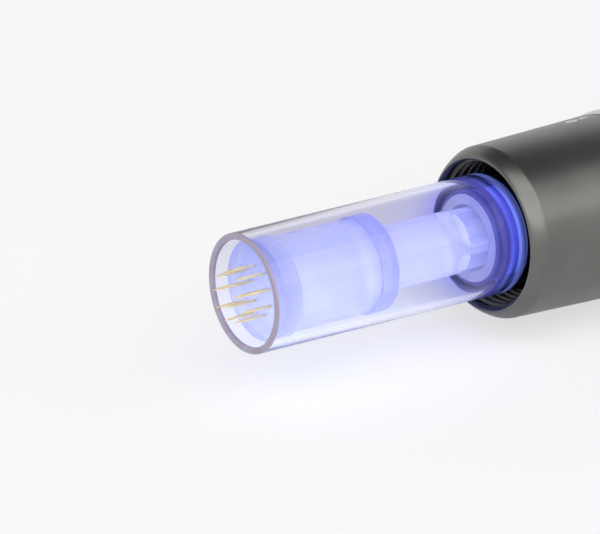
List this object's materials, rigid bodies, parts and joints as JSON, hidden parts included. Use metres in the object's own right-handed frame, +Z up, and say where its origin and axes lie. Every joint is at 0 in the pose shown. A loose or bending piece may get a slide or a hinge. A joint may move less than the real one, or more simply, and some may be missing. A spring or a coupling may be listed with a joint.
{
  "type": "microneedling pen",
  "caption": "Cordless needling pen: clear snap-in needle cartridge, turned depth dial at the nose, flared round handle with buttons and a charging socket.",
  "frame": {"origin": "on the surface that the pen lies on, below the middle of its length", "axes": "+X along the pen's axis towards the charging socket, needles towards -X, +Z up through the buttons"},
  "size_m": [0.1738, 0.023, 0.0232],
  "materials": {
    "clear_plastic": "clear gloss",
    "blue_plastic": "translucent blue",
    "grey_plastic": "matt",
    "black_plastic": "matt",
    "white_plastic": "matt",
    "gold_steel": "bright gold",
    "spring_steel": "bright",
    "plain_steel": "turned",
    "bright_ring": "polished",
    "satin_gunmetal": "satin anodised, dark grey",
    "brass": "plain",
    "black_rubber": "matt",
    "circuit_board": "solder mask",
    "blue_light": "lit blue",
    "cell_wrap": "shrink wrap"
  },
  "bodies": {
    "handle": {"front_core": "plain_steel", "dial_retaining_ring": "spring_steel", "trim_ring": "bright_ring", "barrel": "satin_gunmetal", "rod_bushing": "brass", "motor_mount": "grey_plastic", "motor_can": "plain_steel", "motor_end_bell": "black_plastic", "motor_screw_1": "spring_steel", "motor_screw_2": "spring_steel", "battery_tray": "black_plastic", "battery_cell": "cell_wrap", "battery_contact_front": "brass", "battery_contact_rear": "brass", "main_board": "circuit_board", "power_switch": "black_plastic", "speed_up_switch": "black_plastic", "speed_down_switch": "black_plastic", "light_guide": "blue_light", "rear_cap": "satin_gunmetal", "cap_o_ring": "black_rubber", "charge_socket": "black_plastic", "socket_pin": "brass"},
    "depth_dial": {"nose_dial": "satin_gunmetal"},
    "holder": {"cartridge_holder": "black_plastic", "led_board": "circuit_board", "led_1": "blue_light", "led_2": "blue_light", "led_3": "blue_light", "led_4": "blue_light"},
    "cartridge": {"cartridge_shell": "clear_plastic", "cartridge_o_ring": "black_rubber", "seal_bush": "grey_plastic"},
    "spring": {"return_spring": "spring_steel"},
    "needle_carriage": {"needle_plate": "blue_plastic", "needle_carrier": "blue_plastic", "plunger_tail": "blue_plastic", "needle_01": "gold_steel", "needle_02": "gold_steel", "needle_03": "gold_steel", "needle_04": "gold_steel", "needle_05": "gold_steel", "needle_06": "gold_steel", "needle_07": "gold_steel", "needle_08": "gold_steel", "needle_09": "gold_steel", "needle_10": "gold_steel", "needle_11": "gold_steel", "needle_12": "gold_steel"},
    "rotor": {"motor_shaft": "plain_steel", "cam": "white_plastic"},
    "rod": {"drive_rod": "plain_steel", "follower_head": "plain_steel", "follower_ball": "bright_ring", "rod_spring": "spring_steel"},
    "power_key": {"power_button": "bright_ring"},
    "speed_up_key": {"speed_up_button": "bright_ring"},
    "speed_down_key": {"speed_down_button": "bright_ring"}
  },
  "joints": [
    {"name": "depth_dial_turn", "type": "hinge", "parent": "handle", "child": "depth_dial", "pos_m": [-0.05, 0, 0.0112], "axis": [1, 0, 0], "range_deg": [0, 300]},
    {"name": "holder_slide", "type": "slide", "parent": "handle", "child": "holder", "axis": [-1, 0, 0], "range_m": [0, 0.0025]},
    {"name": "cartridge_release", "type": "slide", "parent": "holder", "child": "cartridge", "axis": [-1, 0, 0], "range_m": [0, 0.025]},
    {"name": "plunger_follow", "type": "slide", "parent": "cartridge", "child": "spring", "axis": [1, 0, 0], "range_m": [0, 0.0025]},
    {"name": "needle_stroke", "type": "slide", "parent": "spring", "child": "needle_carriage", "axis": [1, 0, 0], "range_m": [0, 0.0024], "deforming": ["return_spring"]},
    {"name": "motor_spin", "type": "hinge", "parent": "handle", "child": "rotor", "pos_m": [-0.02, 0, 0.0112], "axis": [1, 0, 0], "range_deg": [0, 180]},
    {"name": "drive_rod_slide", "type": "slide", "parent": "handle", "child": "rod", "axis": [1, 0, 0], "range_m": [0, 0.0024], "deforming": ["rod_spring"]},
    {"name": "power_press", "type": "slide", "parent": "handle", "child": "power_key", "axis": [0, 0, -1], "range_m": [0, 0.0004], "stiffness_N_per_m": 400, "springref_m": -0.0002},
    {"name": "speed_up_press", "type": "slide", "parent": "handle", "child": "speed_up_key", "axis": [0, 0, -1], "range_m": [0, 0.0004], "stiffness_N_per_m": 400, "springref_m": -0.0002},
    {"name": "speed_down_press", "type": "slide", "parent": "handle", "child": "speed_down_key", "axis": [0, 0, -1], "range_m": [0, 0.0004], "stiffness_N_per_m": 400, "springref_m": -0.0002}
  ],
  "couplings": [
    {"joint": "depth_dial_turn", "follows": "holder_slide", "rad_per_m": 2094.4},
    {"joint": "plunger_follow", "follows": "holder_slide", "ratio": 1},
    {"joint": "motor_spin", "follows": "drive_rod_slide", "rad_per_m": 1309},
    {"joint": "needle_stroke", "follows": "drive_rod_slide", "ratio": 1}
  ]
}
